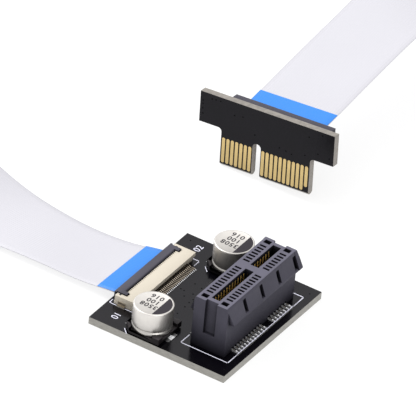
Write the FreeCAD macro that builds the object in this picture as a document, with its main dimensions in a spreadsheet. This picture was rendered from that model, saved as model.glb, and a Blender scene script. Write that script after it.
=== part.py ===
"""Flexible x1 riser card: a socket board and an edge card joined by a flat ribbon.

Millimetres.  +Z is up and the floor is z = 0.  The origin is the middle of the socket
board's underside.  +Y runs along the card slot and +X points from the ribbon connector
towards the slot.  The edge card has a frame of its own: x along its long edge, y through
its thickness from the bare front face, z up from the foot of its edge tab.
"""
import FreeCAD, Part
import math
import os
import re
import Sketcher

Vector = FreeCAD.Vector

# name, value, what it is
SIZES = [
    # boards
    ("board_thick", 1.57, "thickness of both boards"),
    ("board_long", 30.8, "socket board along X"),
    ("board_wide", 35.2, "socket board along Y"),
    ("pad_thick", 0.08, "tinned pad, copper and solder"),
    # card socket
    ("socket_x", 8.25, "middle of the slot"),
    ("socket_long", 25.0, "housing along Y"),
    ("socket_wide", 7.0, "housing across its top"),
    ("socket_tall", 11.25, "housing top above the board"),
    ("peg_y", 11.4, "locating pegs from the socket's middle"),
    ("peg_wide", 1.0, "locating peg diameter"),
    ("peg_long", 1.3, "locating peg below the housing"),
    ("peg_play", 0.05, "radial gap round a peg"),
    ("flare_out", 1.5, "how far the side flare stands out"),
    ("flare_drop", 3.8, "height of the side flare"),
    ("flare_lip", 0.25, "slope of the flare's underside"),
    ("flare_bevel", 0.9, "slant of the flare's near end"),
    ("base_step", 0.35, "how far the lower side wall stands out"),
    ("ear_long", 1.0, "far ear along Y"),
    ("ear_lift", 0.5, "how much higher the far ear ends"),
    ("notch_wide", 1.0, "notch in the flare, along Y"),
    ("notch_pitch", 5.93, "from one notch to the next"),
    ("notch_start", -6.7, "first notch"),
    ("notch_count", 4, "notches in the flare"),
    ("notch_top", 0.7, "notch below the top face"),
    ("notch_foot", 0.45, "flare left under a notch"),
    ("slot_wide", 1.8, "card slot width"),
    ("slot_deep", 8.6, "card slot depth"),
    ("slot_long", 22.0, "card slot end to end"),
    ("key_y", 2.0, "middle of the key wall"),
    ("key_wall", 1.7, "key wall thickness"),
    ("recess_wide", 2.6, "recess in each end face"),
    ("recess_deep", 0.6, "depth of the end recess"),
    ("recess_foot", 3.6, "bottom of the end recess above the board"),
    ("contact_pitch", 1.0, "edge contact pitch"),
    ("long_count", 11, "contacts on the long side of the key"),
    ("short_count", 7, "contacts on the short side of the key"),
    ("key_span", 3.0, "contact centres across the key"),
    ("channel_x", 2.25, "contact channel from the slot's middle"),
    ("channel_long", 1.4, "contact channel across the slot"),
    ("channel_wide", 0.5, "contact channel along the slot"),
    ("window_foot", 3.4, "bottom of a channel's window to the slot"),
    ("window_top", 1.7, "window's top below the top face"),
    ("end_hole_y", 11.15, "larger end hole along the slot"),
    ("end_hole_long", 1.1, "larger end hole along Y"),
    ("end_hole_deep", 3.0, "larger end hole depth"),
    ("tail_gap", 0.8, "height of the openings that the tails leave by"),
    ("tail_notch", 0.6, "width of the openings that the tails leave by"),
    ("strip_thick", 0.25, "socket contact strip"),
    ("strip_wide", 0.38, "socket contact along the slot"),
    ("strip_bite", 0.28, "contact bump into the slot"),
    ("strip_rise", 2.5, "upright run of a contact from the slot's middle"),
    ("strip_bend", 5.2, "where the upright run ends"),
    ("strip_bump", 7.3, "height of the bump"),
    ("strip_top", 9.4, "height of the contact"),
    ("tail_reach", 5.25, "end of a socket tail from the slot's middle"),
    ("strip_pad_start", 4.05, "socket pad from the slot's middle"),
    ("strip_pad_long", 1.5, "socket pad across the slot"),
    ("strip_pad_wide", 0.62, "socket pad along the slot"),
    # ribbon
    ("wire_count", 34, "conductors in the ribbon"),
    ("wire_pitch", 0.5, "conductor pitch"),
    ("ribbon_wide", 17.5, "ribbon across"),
    ("ribbon_thick", 0.2, "flat cable thickness"),
    ("tape_thick", 0.12, "stiffening tape thickness"),
    ("ribbon_gap", 0.05, "gap between the ribbon and what it passes through"),
    ("spring_wide", 0.2, "ribbon contact along the row"),
    ("spring_thick", 0.2, "ribbon contact strip"),
    ("spring_slot", 0.28, "slot that a ribbon contact sits in"),
    ("wire_pad_wide", 0.3, "ribbon connector pad along the row"),
    ("margin", 2.05, "connector body beyond the ribbon's edge"),
    # connector on the socket board, depths from its tail side
    ("flat_x", -9.3, "tail side of the flat connector"),
    ("flat_deep", 4.8, "floor of the flat connector"),
    ("flat_tall", 2.0, "flat connector height"),
    ("flat_floor", 0.75, "floor that the ribbon lies on"),
    ("flat_roof", 3.3, "roofed part of the flat connector"),
    ("roof_notch_wide", 0.22, "notch in the roof's front edge, one over each wire"),
    ("roof_notch_deep", 0.3, "notch in the roof's front edge"),
    ("flat_overhang", 0.5, "roof beyond the rear wall"),
    ("flat_rear", 1.15, "underside of the rear overhang"),
    ("cheek_front", 4.7, "front of a cheek"),
    ("cheek_wide", 0.95, "cheek beside the lock"),
    ("flat_seat", 0.9, "end of the ribbon's pocket"),
    ("lock_pivot", 3.95, "flip lock axis"),
    ("lock_thick", 1.08, "flip lock thickness"),
    ("lock_reach", 5.3, "flip lock's outer edge"),
    ("lock_lip", 0.45, "wide outer lip of the flip lock"),
    ("lip_wide", 20.2, "flip lock's lip along Y"),
    ("lock_ear_wide", 1.0, "ear at each end of the flip lock, along Y"),
    ("lock_ear_reach", 1.25, "ear beyond the flip lock's axis"),
    ("lock_ear_thick", 0.5, "ear thickness"),
    ("lock_play", 0.05, "gap beside and round the flip lock"),
    ("pivot_wide", 0.6, "flip lock pivot diameter"),
    ("pivot_long", 0.4, "flip lock pivot length"),
    ("flat_tail", 1.6, "contact tails beyond the flat connector"),
    ("tab_out", 0.45, "hold-down tab beyond the connector's end"),
    ("tab_long", 1.6, "hold-down tab along the end"),
    ("tab_thick", 0.2, "hold-down tab sheet"),
    ("tab_tall", 0.9, "hold-down tab height"),
    ("tab_start", 2.2, "hold-down tab from the tail side"),
    # capacitors
    ("can_wide", 8.0, "capacitor can diameter"),
    ("can_top", 6.2, "capacitor height above the board"),
    ("can_round", 0.35, "round on the can's top edge"),
    ("bead_up", 0.75, "groove above the can's foot"),
    ("bead_high", 0.55, "groove height"),
    ("bead_deep", 0.22, "groove depth"),
    ("base_wide", 8.3, "capacitor base, square"),
    ("base_thick", 0.6, "capacitor base under the can"),
    ("base_post", 0.7, "corner posts above the base"),
    ("base_chamfer", 1.5, "cut corners of the base"),
    ("post_start", 2.6, "corner post's side from the capacitor's middle"),
    ("can_gap", 0.2, "gap between the can and a post"),
    ("lead_wide", 0.9, "capacitor terminal width"),
    ("lead_thick", 0.2, "capacitor terminal thickness"),
    ("lead_out", 0.45, "terminal beyond the base"),
    ("lead_start", 1.0, "terminal's inner end from the middle"),
    ("can_pad_wide", 3.2, "capacitor pad along Y"),
    ("can_pad_out", 0.8, "capacitor pad beyond the base"),
    ("near_can_x", -3.8, "near capacitor"),
    ("near_can_y", -13.4, "near capacitor"),
    ("far_can_x", -2.5, "far capacitor"),
    ("far_can_y", 13.4, "far capacitor"),
    # edge card
    ("card_long", 30.7, "edge card along its top edge"),
    ("card_tall", 14.6, "edge card from the tab's foot"),
    ("edge_tall", 8.0, "edge tab below the shoulders"),
    ("edge_wide", 20.3, "edge tab width"),
    ("shoulder_round", 0.8, "round where the tab meets a shoulder"),
    ("card_bevel", 0.45, "bevel on the tab's foot"),
    ("card_key_x", -2.0, "middle of the key notch"),
    ("card_key_wide", 1.9, "key notch width"),
    ("card_key_deep", 7.2, "key notch depth"),
    ("finger_wide", 0.7, "gold finger width"),
    ("finger_long", 5.4, "gold finger length"),
    ("finger_foot", 0.75, "finger above the tab's foot"),
    ("finger_short", 0.9, "how much shorter the detect finger is"),
    ("finger_corner", 0.2, "cut corners of a finger"),
    ("finger_thick", 0.05, "gold finger thickness"),
    ("foot_x", -23.8, "corner that the edge card stands on"),
    ("foot_y", 43.65, "corner that the edge card stands on"),
    ("card_roll", 5.05, "edge card's long edge above level, degrees"),
    ("card_lean", 5.3, "edge card's lean away, degrees"),
    # connector on the edge card, depths from the card's back face
    ("exit_z", 11.0, "ribbon above the tab's foot"),
    ("tower_deep", 3.4, "upright connector off the card"),
    ("tower_foot", 1.4, "upright connector below the ribbon"),
    ("tower_top", 1.5, "upright connector above the ribbon"),
    ("tower_pocket", 1.1, "end of the ribbon's pocket"),
    ("spring_room", 0.4, "depth of the way that a tail leaves by"),
    ("spring_floor", 0.4, "wall under the contacts"),
    ("tower_tail", 1.2, "tails below the upright connector"),
    ("cover_deep", 2.0, "slide lock's cover"),
    ("cover_foot", 1.2, "slide lock below the ribbon"),
    ("cover_top", 1.2, "slide lock above the ribbon"),
    ("cover_flare", 0.45, "widening of the lock's mouth"),
    ("arm_wide", 0.5, "slide lock's side arm"),
    ("arm_tall", 1.6, "slide lock's side arm"),
    ("arm_long", 2.2, "slide lock's arm beside the connector"),
    ("tongue_thick", 0.4, "slide lock's tongue"),
    ("tongue_long", 1.8, "slide lock's tongue"),
    # stiffening tape
    ("socket_tape_end", -19.2, "outer end of the tape at the socket board"),
    ("card_tape_end", 10.3, "outer end of the tape above the card's back"),
]

# Ribbon route between the two connectors, chosen by hand, with the roll of the ribbon at
# each point: 0 is flat with the taped side up, 90 stands on edge.
ROUTE = [
    (-23.7, 0.0, 1.00, -3.0),
    (-35.0, 0.0, 1.00, -4.5),
    (-49.0, 0.0, 1.90, 6.0),
    (-62.0, 0.0, 5.40, 32.0),
    (-75.0, 0.0, 8.70, 68.0),
    (-88.0, 0.0, 9.20, 90.0),
    (-108.0, 9.0, 9.20, 90.0),
    (-115.0, 34.0, 9.20, 90.0),
    (-112.0, 88.0, 9.20, 90.0),
    (-98.0, 124.0, 9.20, 90.0),
    (-70.0, 150.0, 9.20, 90.0),
    (-40.0, 156.0, 9.20, 90.0),
    (-18.5, 138.0, 9.40, 90.0),
    (-15.2, 114.0, 11.30, 45.0),
    (-15.4, 94.0, 14.45, -5.0),
    (-15.1, 70.0, 12.80, -5.05),
]
ARC_SHARE = 0.45
STATION_TURN = 6.0

doc = FreeCAD.newDocument("riser_card")
sheet = doc.addObject("Spreadsheet::Sheet", "sizes")
for line, (name, value, note) in enumerate(SIZES, 1):
    sheet.set(f"A{line}", name)
    sheet.set(f"B{line}", str(value))
    sheet.set(f"C{line}", note)
    sheet.setAlias(f"B{line}", name)
doc.recompute()
size = {name: float(getattr(sheet, name)) for name, value, note in SIZES}


# ---------------------------------------------------------------- helpers

def bound(text):
    """The expression with the sheet's name in front of every size."""
    return re.sub(r"\b(?!sqrt\b)[a-z][a-z_]+", lambda word: "sizes." + word.group(0), text)


def new_body(label, x="0", y="0", z="0", pose=None):
    body = doc.addObject("PartDesign::Body", label)
    body.Label = label
    body.AllowCompound = True
    if pose is None:
        for axis, text in (("x", x), ("y", y), ("z", z)):
            body.setExpression("Placement.Base." + axis, bound(text))
    else:
        body.Placement = pose
    return body


def origin_feature(body, role):
    return [f for f in body.Origin.OriginFeatures if f.Role == role][0]


def new_sketch(body, name, plane, start):
    sketch = body.newObject("Sketcher::SketchObject", name)
    sketch.AttachmentSupport = [(origin_feature(body, plane + "_Plane"), "")]
    sketch.MapMode = "FlatFace"
    lift = bound(f"-({start})" if plane == "XZ" else start)
    sketch.setExpression("AttachmentOffset.Base.z", lift)
    return sketch


def pin_point(sketch, curve, end, x, y):
    """Hold one point of a curve at distances from the sketch's origin."""
    for kind, text in (("DistanceX", x), ("DistanceY", y)):
        index = sketch.addConstraint(Sketcher.Constraint(kind, -1, 1, curve, end, 1.0))
        sketch.setExpression(f"Constraints[{index}]", bound(text))


def polygon(body, name, plane, corners, start):
    sketch = new_sketch(body, name, plane, start)
    count = len(corners)
    ring = [Vector(math.cos(2*math.pi*i/count), math.sin(2*math.pi*i/count), 0)
            for i in range(count)]
    for i in range(count):
        sketch.addGeometry(Part.LineSegment(ring[i], ring[(i + 1) % count]), False)
    for i in range(count):
        sketch.addConstraint(Sketcher.Constraint("Coincident", i, 2, (i + 1) % count, 1))
    for i, (x, y) in enumerate(corners):
        pin_point(sketch, i, 1, x, y)
    return sketch


def disc(body, name, plane, x, y, across, start):
    sketch = new_sketch(body, name, plane, start)
    sketch.addGeometry(Part.Circle(Vector(0, 0, 0), Vector(0, 0, 1), 1.0), False)
    pin_point(sketch, 0, 3, x, y)
    index = sketch.addConstraint(Sketcher.Constraint("Diameter", 0, 2.0))
    sketch.setExpression(f"Constraints[{index}]", bound(across))
    return sketch


def extrude(body, name, plane, sketch, length, kind):
    """Add or cut along the plane's positive world axis."""
    feature = body.newObject("PartDesign::" + kind, name)
    feature.Profile = sketch
    feature.setExpression("Length", bound(length))
    feature.Reversed = (plane == "XZ") == (kind == "Pad")
    sketch.Visibility = False
    return feature


def pad(body, name, plane, corners, start, length):
    return extrude(body, name, plane, polygon(body, name + "_outline", plane, corners, start),
                   length, "Pad")


def cut(body, name, plane, corners, start, length):
    return extrude(body, name, plane, polygon(body, name + "_outline", plane, corners, start),
                   length, "Pocket")


def round_pad(body, name, plane, x, y, across, start, length):
    return extrude(body, name, plane, disc(body, name + "_circle", plane, x, y, across, start),
                   length, "Pad")


def round_cut(body, name, plane, x, y, across, start, length):
    return extrude(body, name, plane, disc(body, name + "_circle", plane, x, y, across, start),
                   length, "Pocket")


def row(body, name, features, axis, count, pitch):
    pattern = body.newObject("PartDesign::LinearPattern", name)
    pattern.Originals = features
    pattern.Direction = (origin_feature(body, axis + "_Axis"), [""])
    pattern.setExpression("Occurrences", bound(count))
    pattern.setExpression("Length", bound(f"({count}-1)*{pitch}"))
    body.Tip = pattern
    return pattern


def box(x0, x1, y0, y1):
    return [(x0, y0), (x1, y0), (x1, y1), (x0, y1)]


def box_at(x, wide, y, tall):
    return box(f"{x}-({wide})/2", f"{x}+({wide})/2", f"{y}-({tall})/2", f"{y}+({tall})/2")


def signed(sign, corners):
    return [(f"{sign}({x})", y) for x, y in corners]


SIDES = (("near", "-"), ("far", ""))
# first contact and how many, either side of the key, along the slot
CONTACT_GROUPS = [
    ("long", "key_y-key_span/2-(long_count-1)*contact_pitch", "long_count"),
    ("short", "key_y+key_span/2", "short_count"),
]
WIRE_START = "-(wire_count-1)*wire_pitch/2"
END_FACE = "ribbon_wide/2+margin"


# ---------------------------------------------------------------- socket board

board = new_body("socket_board")
pad(board, "plate", "XY", box_at("0", "board_long", "0", "board_wide"), "0", "board_thick")
for side, sign in SIDES:
    round_cut(board, side + "_hole", "XY", "socket_x", f"{sign}peg_y",
              "peg_wide+2*peg_play", "0", "board_thick")

pads = new_body("socket_board_pads", z="board_thick")
for side, sign in (("inner", "-"), ("outer", "")):
    middle = f"socket_x{sign or '+'}(strip_pad_start+strip_pad_long/2)"
    for group, start, count in CONTACT_GROUPS:
        first = pad(pads, f"{side}_{group}_pad", "XY",
                    box_at(middle, "strip_pad_long", start, "strip_pad_wide"), "0", "pad_thick")
        row(pads, f"{side}_{group}_pads", [first], "Y", count, "contact_pitch")
first = pad(pads, "wire_pad", "XY",
            box("flat_x+flat_tail-1.1", "flat_x+flat_tail+0.25", f"{WIRE_START}-wire_pad_wide/2",
                f"{WIRE_START}+wire_pad_wide/2"), "0", "pad_thick")
row(pads, "wire_pads", [first], "Y", "wire_count", "wire_pitch")
for side, sign in SIDES:
    pad(pads, side + "_tab_pad", "XY",
        box_at("flat_x-tab_start-tab_long/2", "tab_long+0.3",
               f"{sign}({END_FACE}+tab_out/2+0.1)", "tab_out+0.2"), "0", "pad_thick")
    for end, way in (("left", "-"), ("right", "+")):
        middle = f"{side}_can_x{way}(base_wide/2+can_pad_out/2-0.4)"
        pad(pads, f"{side}_{end}_can_pad", "XY",
            box_at(middle, "can_pad_out+0.8", f"{side}_can_y", "can_pad_wide"), "0", "pad_thick")


# ---------------------------------------------------------------- card socket

WALL = "socket_wide/2+base_step"
FLARE_FOOT = "socket_tall-flare_drop"

housing = new_body("socket_housing", "socket_x", "0", "board_thick")
right_side = [(WALL, "0"), (WALL, f"{FLARE_FOOT}-flare_lip"),
              ("socket_wide/2+flare_out", FLARE_FOOT), ("socket_wide/2", "socket_tall")]
pad(housing, "shell", "XZ", right_side + signed("-", right_side)[::-1],
    "-socket_long/2", "socket_long")
for side, sign in SIDES:
    round_pad(housing, side + "_peg", "XY", "0", f"{sign}peg_y", "peg_wide",
              "-peg_long", "peg_long")
    end = box_at("0", "recess_wide", f"{sign}(socket_long/2-recess_deep/2)", "recess_deep")
    cut(housing, side + "_recess", "XY", end, "recess_foot", "socket_tall-recess_foot")
cut(housing, "long_slot", "XY", box("-slot_wide/2", "slot_wide/2", "-slot_long/2",
                                    "key_y-key_wall/2"), "socket_tall-slot_deep", "slot_deep")
cut(housing, "short_slot", "XY", box("-slot_wide/2", "slot_wide/2", "key_y+key_wall/2",
                                     "slot_long/2"), "socket_tall-slot_deep", "slot_deep")
for group, start, count in CONTACT_GROUPS:
    tools = []
    for side, sign in (("inner", "-"), ("outer", "")):
        tools.append(cut(housing, f"{group}_{side}_channel", "XY",
                         box_at(f"{sign}channel_x", "channel_long", start, "channel_wide"),
                         "0", "socket_tall"))
    tools.append(cut(housing, group + "_window", "XY",
                     box_at("0", "2*channel_x", start, "channel_wide"), "window_foot",
                     "socket_tall-window_top-window_foot"))
    tools.append(cut(housing, group + "_tail_way", "XY",
                     box_at("0", "2*socket_wide", start, "tail_notch"), "0", "tail_gap"))
    row(housing, group + "_channels", tools, "Y", count, "contact_pitch")
notches = []
for edge, sign in (("inner", "-"), ("outer", "")):
    for side, way in SIDES:
        cut(housing, f"{edge}_{side}_end_hole", "XY",
            box_at(f"{sign}channel_x", "channel_long", f"{way}end_hole_y", "end_hole_long"),
            "socket_tall-end_hole_deep", "end_hole_deep")
    outside = signed(sign, box("socket_wide/2", "socket_wide/2+2*flare_out",
                               "notch_start-notch_wide/2", "notch_start+notch_wide/2"))
    notches.append(cut(housing, edge + "_notch", "XY", outside, f"{FLARE_FOOT}+notch_foot",
                       "flare_drop-notch_foot-notch_top"))
row(housing, "notches", notches, "Y", "notch_count", "notch_pitch")
slant = [("-socket_long/2", "socket_tall"),
         ("-socket_long/2+flare_bevel", f"{FLARE_FOOT}-flare_lip"),
         ("-socket_long/2", f"{FLARE_FOOT}-flare_lip")]
for edge, sign, from_x in (("inner", "-", f"-({WALL}+2*flare_out)"), ("outer", "", WALL)):
    cut(housing, edge + "_slant", "YZ", slant, from_x, "2*flare_out")
    below = signed(sign, box(WALL, f"{WALL}+2*flare_out", "socket_long/2-ear_long",
                             "socket_long/2"))
    cut(housing, edge + "_ear_step", "XY", below, f"{FLARE_FOOT}-flare_lip",
        "flare_lip+ear_lift")

strip = [("tail_reach", "pad_thick"), ("strip_rise", "pad_thick"),
         ("strip_rise", "strip_bend"), ("slot_wide/2-strip_bite", "strip_bump"),
         ("channel_x-0.9", "strip_top"), ("channel_x-0.6", "strip_top"),
         ("slot_wide/2-strip_bite+strip_thick+0.05", "strip_bump"),
         ("strip_rise+strip_thick", "strip_bend+0.1"),
         ("strip_rise+strip_thick", "pad_thick+strip_thick"),
         ("tail_reach", "pad_thick+strip_thick")]
for edge, sign in (("inner", "-"), ("outer", "")):
    contacts = new_body(f"socket_contacts_{edge}", "socket_x", "0", "board_thick")
    for group, start, count in CONTACT_GROUPS:
        first = pad(contacts, group + "_contact", "XZ", signed(sign, strip),
                    f"{start}-strip_wide/2", "strip_wide")
        row(contacts, group + "_contacts", [first], "Y", count, "contact_pitch")


# ---------------------------------------------------------------- flat ribbon connector

PIVOT_Z = "flat_floor+2*ribbon_gap+ribbon_thick+tape_thick+lock_thick/2"
LOCK_HALF = f"{END_FACE}-cheek_wide-lock_play"

flat = new_body("socket_end_connector_housing", "flat_x", "0", "board_thick")
pad(flat, "shell", "XZ", box("-cheek_front", "-flat_overhang", "0", "flat_tall"),
    f"-({END_FACE})", f"2*({END_FACE})")
pad(flat, "overhang", "XZ", box("-flat_overhang", "0", "flat_rear", "flat_tall"),
    f"-({END_FACE})", f"2*({END_FACE})")
pad(flat, "front_floor", "XZ", box("-flat_deep", "-cheek_front", "0", "flat_floor"),
    f"-({END_FACE})", f"2*({END_FACE})")
cut(flat, "lock_room", "XZ", box("-cheek_front", "-flat_roof", "flat_floor", "flat_tall"),
    f"-({END_FACE}-cheek_wide)", f"2*({END_FACE}-cheek_wide)")
cut(flat, "ribbon_room", "XZ",
    box("-flat_roof", "-flat_seat", "flat_floor", "flat_floor+2*ribbon_gap+ribbon_thick+tape_thick"),
    "-(ribbon_wide/2+ribbon_gap)", "ribbon_wide+2*ribbon_gap")
first = cut(flat, "spring_slot_first", "XZ",
            box("-flat_roof", "-flat_overhang", "pad_thick+0.1", "flat_floor"),
            f"{WIRE_START}-spring_slot/2", "spring_slot")
row(flat, "spring_slots", [first], "Y", "wire_count", "wire_pitch")
first = cut(flat, "roof_notch", "XZ",
            box("-flat_roof", "-flat_roof+roof_notch_deep", "flat_floor+ribbon_gap", "flat_tall"),
            f"{WIRE_START}-roof_notch_wide/2", "roof_notch_wide")
row(flat, "roof_notches", [first], "Y", "wire_count", "wire_pitch")
ear_room = box("-lock_pivot", "-lock_pivot+sqrt(lock_ear_reach^2+(lock_thick/2)^2)+lock_play",
               f"{PIVOT_Z}-lock_ear_reach-lock_play", "flat_tall")
cut(flat, "near_ear_room", "XZ", ear_room, f"-({LOCK_HALF}+lock_play)",
    "lock_ear_wide+2*lock_play")
cut(flat, "far_ear_room", "XZ", ear_room, f"{LOCK_HALF}-lock_ear_wide-lock_play",
    "lock_ear_wide+2*lock_play")
round_cut(flat, "near_bearing", "XZ", "-lock_pivot", PIVOT_Z, "pivot_wide+2*lock_play",
          f"-({LOCK_HALF}+pivot_long+lock_play)", "pivot_long+2*lock_play")
round_cut(flat, "far_bearing", "XZ", "-lock_pivot", PIVOT_Z, "pivot_wide+2*lock_play",
          f"{LOCK_HALF}-lock_play", "pivot_long+2*lock_play")

flip = new_body("socket_end_lock", "flat_x", "0", "board_thick")
pad(flip, "bar", "XZ", box("-lock_reach", "-lock_pivot", f"{PIVOT_Z}-lock_thick/2",
                           f"{PIVOT_Z}+lock_thick/2"), f"-({LOCK_HALF})", f"2*({LOCK_HALF})")
round_pad(flip, "round_edge", "XZ", "-lock_pivot", PIVOT_Z, "lock_thick",
          f"-({LOCK_HALF})", f"2*({LOCK_HALF})")
pad(flip, "lip", "XZ", box("-lock_reach", "-lock_reach+lock_lip", f"{PIVOT_Z}-lock_thick/2",
                           f"{PIVOT_Z}+lock_thick/2"), "-lip_wide/2", "lip_wide")
ear = box("-lock_pivot", "-lock_pivot+lock_ear_reach",
          f"{PIVOT_Z}+lock_thick/2-lock_ear_thick", f"{PIVOT_Z}+lock_thick/2")
pad(flip, "near_ear", "XZ", ear, f"-({LOCK_HALF})", "lock_ear_wide")
pad(flip, "far_ear", "XZ", ear, f"{LOCK_HALF}-lock_ear_wide", "lock_ear_wide")
round_pad(flip, "pivots", "XZ", "-lock_pivot", PIVOT_Z, "pivot_wide",
          f"-({LOCK_HALF}+pivot_long)", f"2*({LOCK_HALF}+pivot_long)")

TIP = "flat_floor+ribbon_gap/2"
spring = [("flat_tail", "pad_thick"), ("flat_tail", "pad_thick+spring_thick"),
          ("flat_tail-0.9", "pad_thick+spring_thick"), ("flat_tail-1.3", "0.32+spring_thick"),
          ("-2.0", "0.32+spring_thick"), ("-2.4", TIP), ("-2.8", TIP),
          ("-2.8", f"{TIP}-spring_thick"), ("-2.45", f"{TIP}-spring_thick"), ("-2.1", "0.32"),
          ("flat_tail-1.25", "0.32"), ("flat_tail-0.85", "pad_thick")]
springs = new_body("socket_end_connector_contacts", "flat_x", "0", "board_thick")
first = pad(springs, "contact", "XZ", spring, f"{WIRE_START}-spring_wide/2", "spring_wide")
row(springs, "contacts", [first], "Y", "wire_count", "wire_pitch")

tabs = new_body("socket_end_connector_tabs", "flat_x", "0", "board_thick")
angle = [("0", "pad_thick"), ("tab_out", "pad_thick"), ("tab_out", "pad_thick+tab_thick"),
         ("tab_thick", "pad_thick+tab_thick"), ("tab_thick", "tab_tall"), ("0", "tab_tall")]
for side, sign in SIDES:
    shifted = [(f"{sign}({END_FACE}+{y})", z) for y, z in angle]
    pad(tabs, side + "_tab", "YZ", shifted, "-tab_start-tab_long", "tab_long")


# ---------------------------------------------------------------- capacitors

FOOT = "pad_thick+lead_thick"
for side, sign in SIDES:
    spot = (f"{side}_can_x", f"{side}_can_y", "board_thick")
    leads = new_body(f"capacitor_{side}_leads", *spot)
    for end, way in (("left", "-"), ("right", "")):
        pad(leads, end + "_lead", "XY",
            signed(way, box("lead_start", "base_wide/2+lead_out", "-lead_wide/2", "lead_wide/2")),
            "pad_thick", "lead_thick")
    base = new_body(f"capacitor_{side}_base", *spot)
    edge = "base_wide/2"
    outline = [(edge, f"-{edge}"), (edge, edge), (f"-{edge}+base_chamfer", edge),
               (f"-{edge}", f"{edge}-base_chamfer"), (f"-{edge}", f"-{edge}+base_chamfer"),
               (f"-{edge}+base_chamfer", f"-{edge}")]
    pad(base, "slab", "XY", outline, FOOT, "base_thick+base_post")
    round_cut(base, "can_room", "XY", "0", "0", "can_wide+2*can_gap",
              f"{FOOT}+base_thick", "base_post")
    for name, corners in (("side_gaps", box_at("0", "2*base_wide", "0", "2*post_start")),
                          ("end_gaps", box_at("0", "2*post_start", "0", "2*base_wide"))):
        cut(base, name, "XY", corners, f"{FOOT}+base_thick", "base_post")
    can = new_body(f"capacitor_{side}_can", *spot)
    rim = "can_wide/2"
    waist = "can_wide/2-bead_deep"
    low = f"{FOOT}+base_thick"
    profile = [("0", low), (rim, low), (rim, f"{low}+bead_up"),
               (waist, f"{low}+bead_up+bead_high/3"), (waist, f"{low}+bead_up+2*bead_high/3"),
               (rim, f"{low}+bead_up+bead_high"), (rim, "can_top-can_round"),
               (f"{rim}-0.3*can_round", "can_top-0.3*can_round"),
               (f"{rim}-can_round", "can_top"), ("0", "can_top")]
    half_section = polygon(can, "half_section", "XZ", profile, "0")
    turned = can.newObject("PartDesign::Revolution", "shell")
    turned.Profile = half_section
    turned.ReferenceAxis = (half_section, ["V_Axis"])
    turned.Angle = 360.0


# ---------------------------------------------------------------- edge card

roll = FreeCAD.Rotation(Vector(0, 1, 0), -size["card_roll"])
lean = FreeCAD.Rotation(Vector(1, 0, 0), -size["card_lean"])
turn = roll.multiply(lean)
standing_corner = Vector(-size["edge_wide"]/2, size["board_thick"] - size["card_bevel"], 0)
foot_point = Vector(size["foot_x"], size["foot_y"], 0)
card_pose = FreeCAD.Placement(foot_point - turn.multVec(standing_corner), turn)

card = new_body("edge_card", pose=card_pose)
half_card = [("edge_wide/2", "0"), ("edge_wide/2", "edge_tall"), ("card_long/2", "edge_tall"),
             ("card_long/2", "card_tall")]
plate = pad(card, "plate", "XZ", half_card + signed("-", half_card)[::-1], "0", "board_thick")
doc.recompute()
inner_edges = []
for index, edge in enumerate(plate.Shape.Edges, 1):
    place = edge.CenterOfMass
    if (abs(abs(place.x) - size["edge_wide"]/2) < 0.01 and abs(place.z - size["edge_tall"]) < 0.01
            and edge.Length < size["board_thick"] + 0.01):
        inner_edges.append(f"Edge{index}")
shoulders = card.newObject("PartDesign::Fillet", "shoulders")
shoulders.Base = (plate, inner_edges)
shoulders.setExpression("Radius", bound("shoulder_round"))
cut(card, "key_notch", "XZ", box_at("card_key_x", "card_key_wide", "(card_key_deep-card_key_wide/2)/2",
                                    "card_key_deep-card_key_wide/2"), "0", "board_thick")
round_cut(card, "key_round", "XZ", "card_key_x", "card_key_deep-card_key_wide/2",
          "card_key_wide", "0", "board_thick")
bevel = [("-card_bevel", "2*card_bevel"), ("-card_bevel", "-card_bevel"),
         ("2*card_bevel", "-card_bevel")]
cut(card, "front_bevel", "YZ", bevel, "-edge_wide/2", "edge_wide")
cut(card, "back_bevel", "YZ", [(f"board_thick-({y})", z) for y, z in bevel],
    "-edge_wide/2", "edge_wide")

CARD_GROUPS = [("short", "card_key_x-key_span/2-(short_count-1)*contact_pitch", "short_count"),
               ("long", "card_key_x+key_span/2", "long_count")]


def finger(x, foot):
    left = f"{x}-finger_wide/2"
    right = f"{x}+finger_wide/2"
    top = "finger_foot+finger_long"
    return [(f"{left}+finger_corner", foot), (f"{right}-finger_corner", foot),
            (right, f"{foot}+finger_corner"), (right, f"{top}-finger_corner"),
            (f"{right}-finger_corner", top), (f"{left}+finger_corner", top),
            (left, f"{top}-finger_corner"), (left, f"{foot}+finger_corner")]


fingers_front = new_body("edge_fingers_front", pose=card_pose)
fingers_back = new_body("edge_fingers_back", pose=card_pose)
short_start = CARD_GROUPS[0][1]
long_start = CARD_GROUPS[1][1]
FINGER_ROWS = [
    (fingers_front, "-finger_thick", "short", short_start, "finger_foot", "short_count"),
    (fingers_front, "-finger_thick", "long", long_start, "finger_foot", "long_count-1"),
    (fingers_front, "-finger_thick", "detect", f"{long_start}+(long_count-1)*contact_pitch",
     "finger_foot+finger_short", "1"),
    (fingers_back, "board_thick", "outer", short_start, "finger_foot", "1"),
    (fingers_back, "board_thick", "detect", f"{short_start}+contact_pitch",
     "finger_foot+finger_short", "1"),
    (fingers_back, "board_thick", "short", f"{short_start}+2*contact_pitch", "finger_foot",
     "short_count-2"),
    (fingers_back, "board_thick", "long", long_start, "finger_foot", "long_count"),
]
for body, start, name, x, foot, count in FINGER_ROWS:
    first = pad(body, name + "_finger", "XZ", finger(x, foot), start, "finger_thick")
    if count != "1":
        row(body, name + "_fingers", [first], "X", f"({count})", "contact_pitch")


# ---------------------------------------------------------------- upright ribbon connector

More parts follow.
